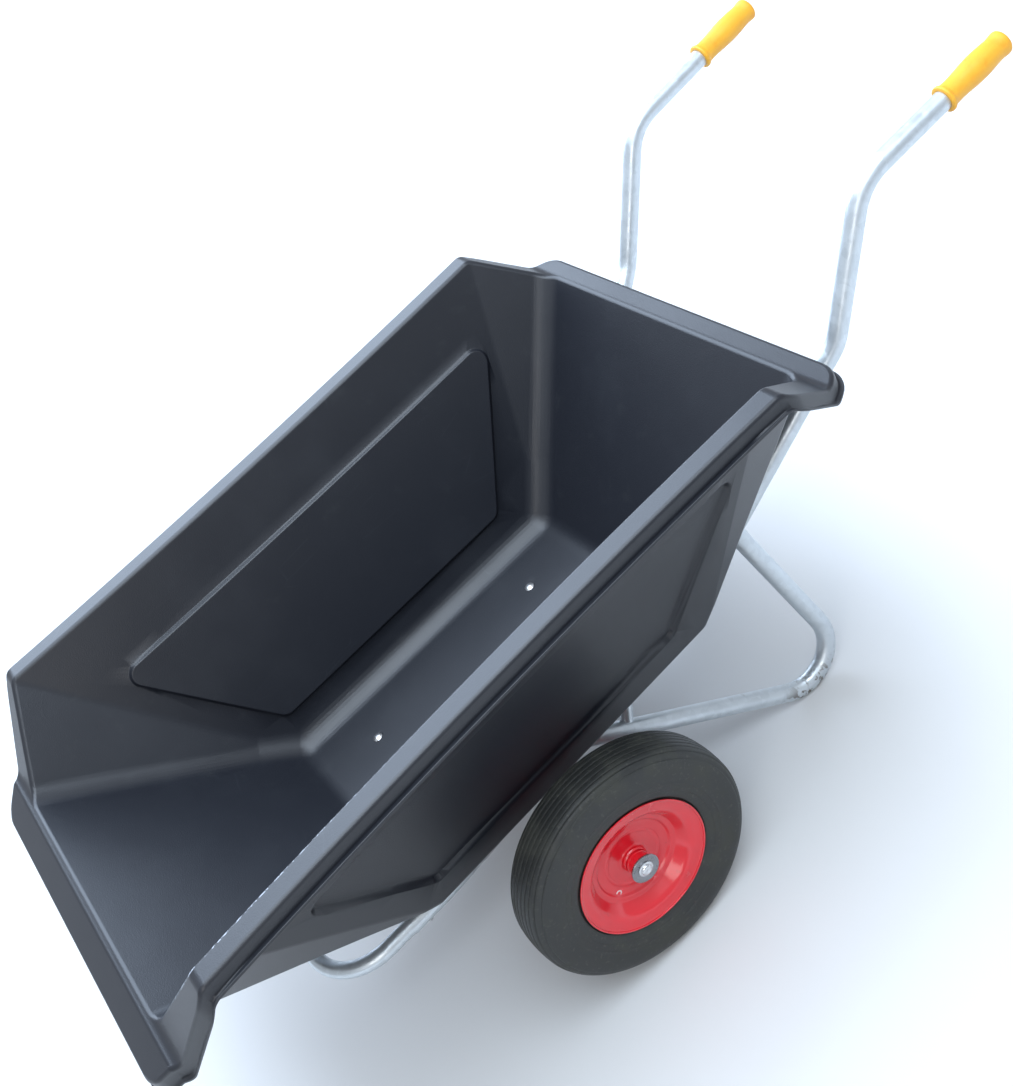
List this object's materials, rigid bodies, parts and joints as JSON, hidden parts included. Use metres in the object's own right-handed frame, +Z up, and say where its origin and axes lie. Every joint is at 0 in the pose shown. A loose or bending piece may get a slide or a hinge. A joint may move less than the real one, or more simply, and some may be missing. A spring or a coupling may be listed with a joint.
{
  "type": "wheelbarrow",
  "caption": "Large moulded tub on a bent galvanised tube frame, with free-running wheels on a fixed axle, legs, a tipping loop and moulded grips.",
  "frame": {"origin": "on the ground under the middle of the whole barrow, midway between nose and grips", "axes": "+X to the user's left hand, +Y towards the handles, +Z up; the axle runs along X"},
  "size_m": [0.9256, 1.9046, 0.7724],
  "materials": {
    "tub_plastic": "black moulded polyethylene, satin",
    "galvanised": "hot-dip galvanised, pale grey",
    "grip_yellow": "soft yellow moulding",
    "tyre_rubber": "ribbed black rubber",
    "tyre_foam": "foamed filling",
    "rim_red": "gloss red paint",
    "bearing_nylon": "natural nylon",
    "plug_plastic": "pale plastic",
    "axle_steel": "bright drawn bar",
    "zinc_fastener": "zinc plated"
  },
  "bodies": {
    "frame": {"axle": "axle_steel", "front_crossbar": "galvanised", "front_loop": "galvanised", "left_axle_bracket": "galvanised", "left_axle_cap": "zinc_fastener", "left_axle_collar": "axle_steel", "left_end_washer": "zinc_fastener", "left_grip": "grip_yellow", "left_leg": "galvanised", "left_side_tube": "galvanised", "left_strut": "galvanised", "loop_bolts": "zinc_fastener", "loop_nuts": "zinc_fastener", "rear_crossbar": "galvanised", "right_axle_bracket": "galvanised", "right_axle_cap": "zinc_fastener", "right_axle_collar": "axle_steel", "right_end_washer": "zinc_fastener", "right_grip": "grip_yellow", "right_leg": "galvanised", "right_side_tube": "galvanised", "right_strut": "galvanised", "tub": "tub_plastic", "tub_bolts": "zinc_fastener", "tub_nuts": "zinc_fastener", "tub_washers": "zinc_fastener"},
    "left_wheel": {"left_hub": "rim_red", "left_inner_bearing": "bearing_nylon", "left_outer_bearing": "bearing_nylon", "left_rim_inner": "rim_red", "left_rim_outer": "rim_red", "left_rim_plug": "plug_plastic", "left_tyre": "tyre_rubber", "left_tyre_core": "tyre_foam"},
    "right_wheel": {"right_hub": "rim_red", "right_inner_bearing": "bearing_nylon", "right_outer_bearing": "bearing_nylon", "right_rim_inner": "rim_red", "right_rim_outer": "rim_red", "right_rim_plug": "plug_plastic", "right_tyre": "tyre_rubber", "right_tyre_core": "tyre_foam"}
  },
  "joints": [
    {"name": "left_wheel_spin", "type": "hinge", "parent": "frame", "child": "left_wheel", "pos_m": [0.38, -0.26135, 0.2], "axis": [1, 0, 0], "continuous": true},
    {"name": "right_wheel_spin", "type": "hinge", "parent": "frame", "child": "right_wheel", "pos_m": [-0.38, -0.26135, 0.2], "axis": [1, 0, 0], "continuous": true}
  ]
}
